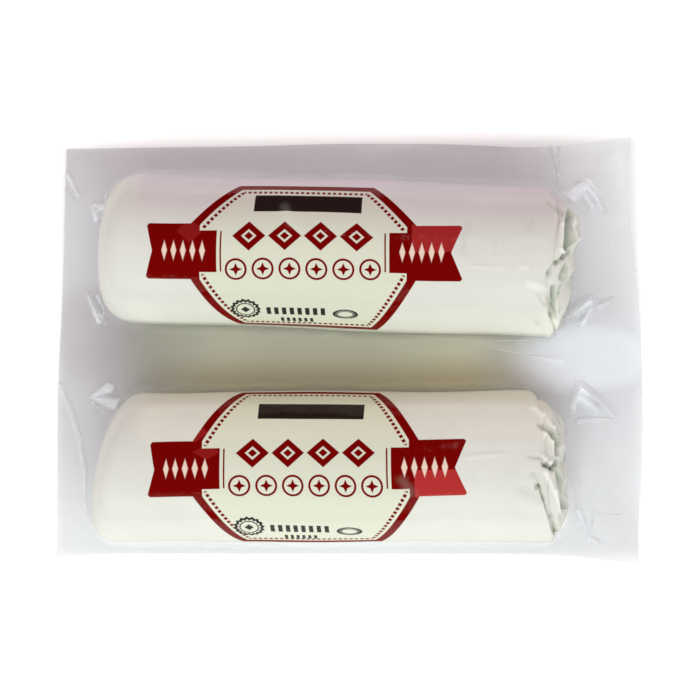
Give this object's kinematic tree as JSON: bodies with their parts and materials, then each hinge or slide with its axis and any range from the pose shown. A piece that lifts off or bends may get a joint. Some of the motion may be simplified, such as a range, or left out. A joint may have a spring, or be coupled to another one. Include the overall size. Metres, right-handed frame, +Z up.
{
  "type": "vacuum-packed goat cheese logs",
  "caption": "Wrapped logs of soft goat cheese, sealed side by side in a clear vacuum pouch with a flat wavy margin all round.",
  "frame": {"origin": "centre of the pouch's outline, at the level that the logs rest on", "axes": "+X along the logs towards the ends with the loosely folded wrap, +Y across the pouch towards the back log, +Z up"},
  "size_m": [0.1928, 0.1394, 0.0485],
  "materials": {
    "wrap": "soft white printed film, slightly glossy",
    "pouch_film": "clear glossy film"
  },
  "bodies": {
    "root": {"cheese_log_back": "wrap", "cheese_log_front": "wrap", "clear_pouch": "pouch_film"}
  },
  "joints": []
}
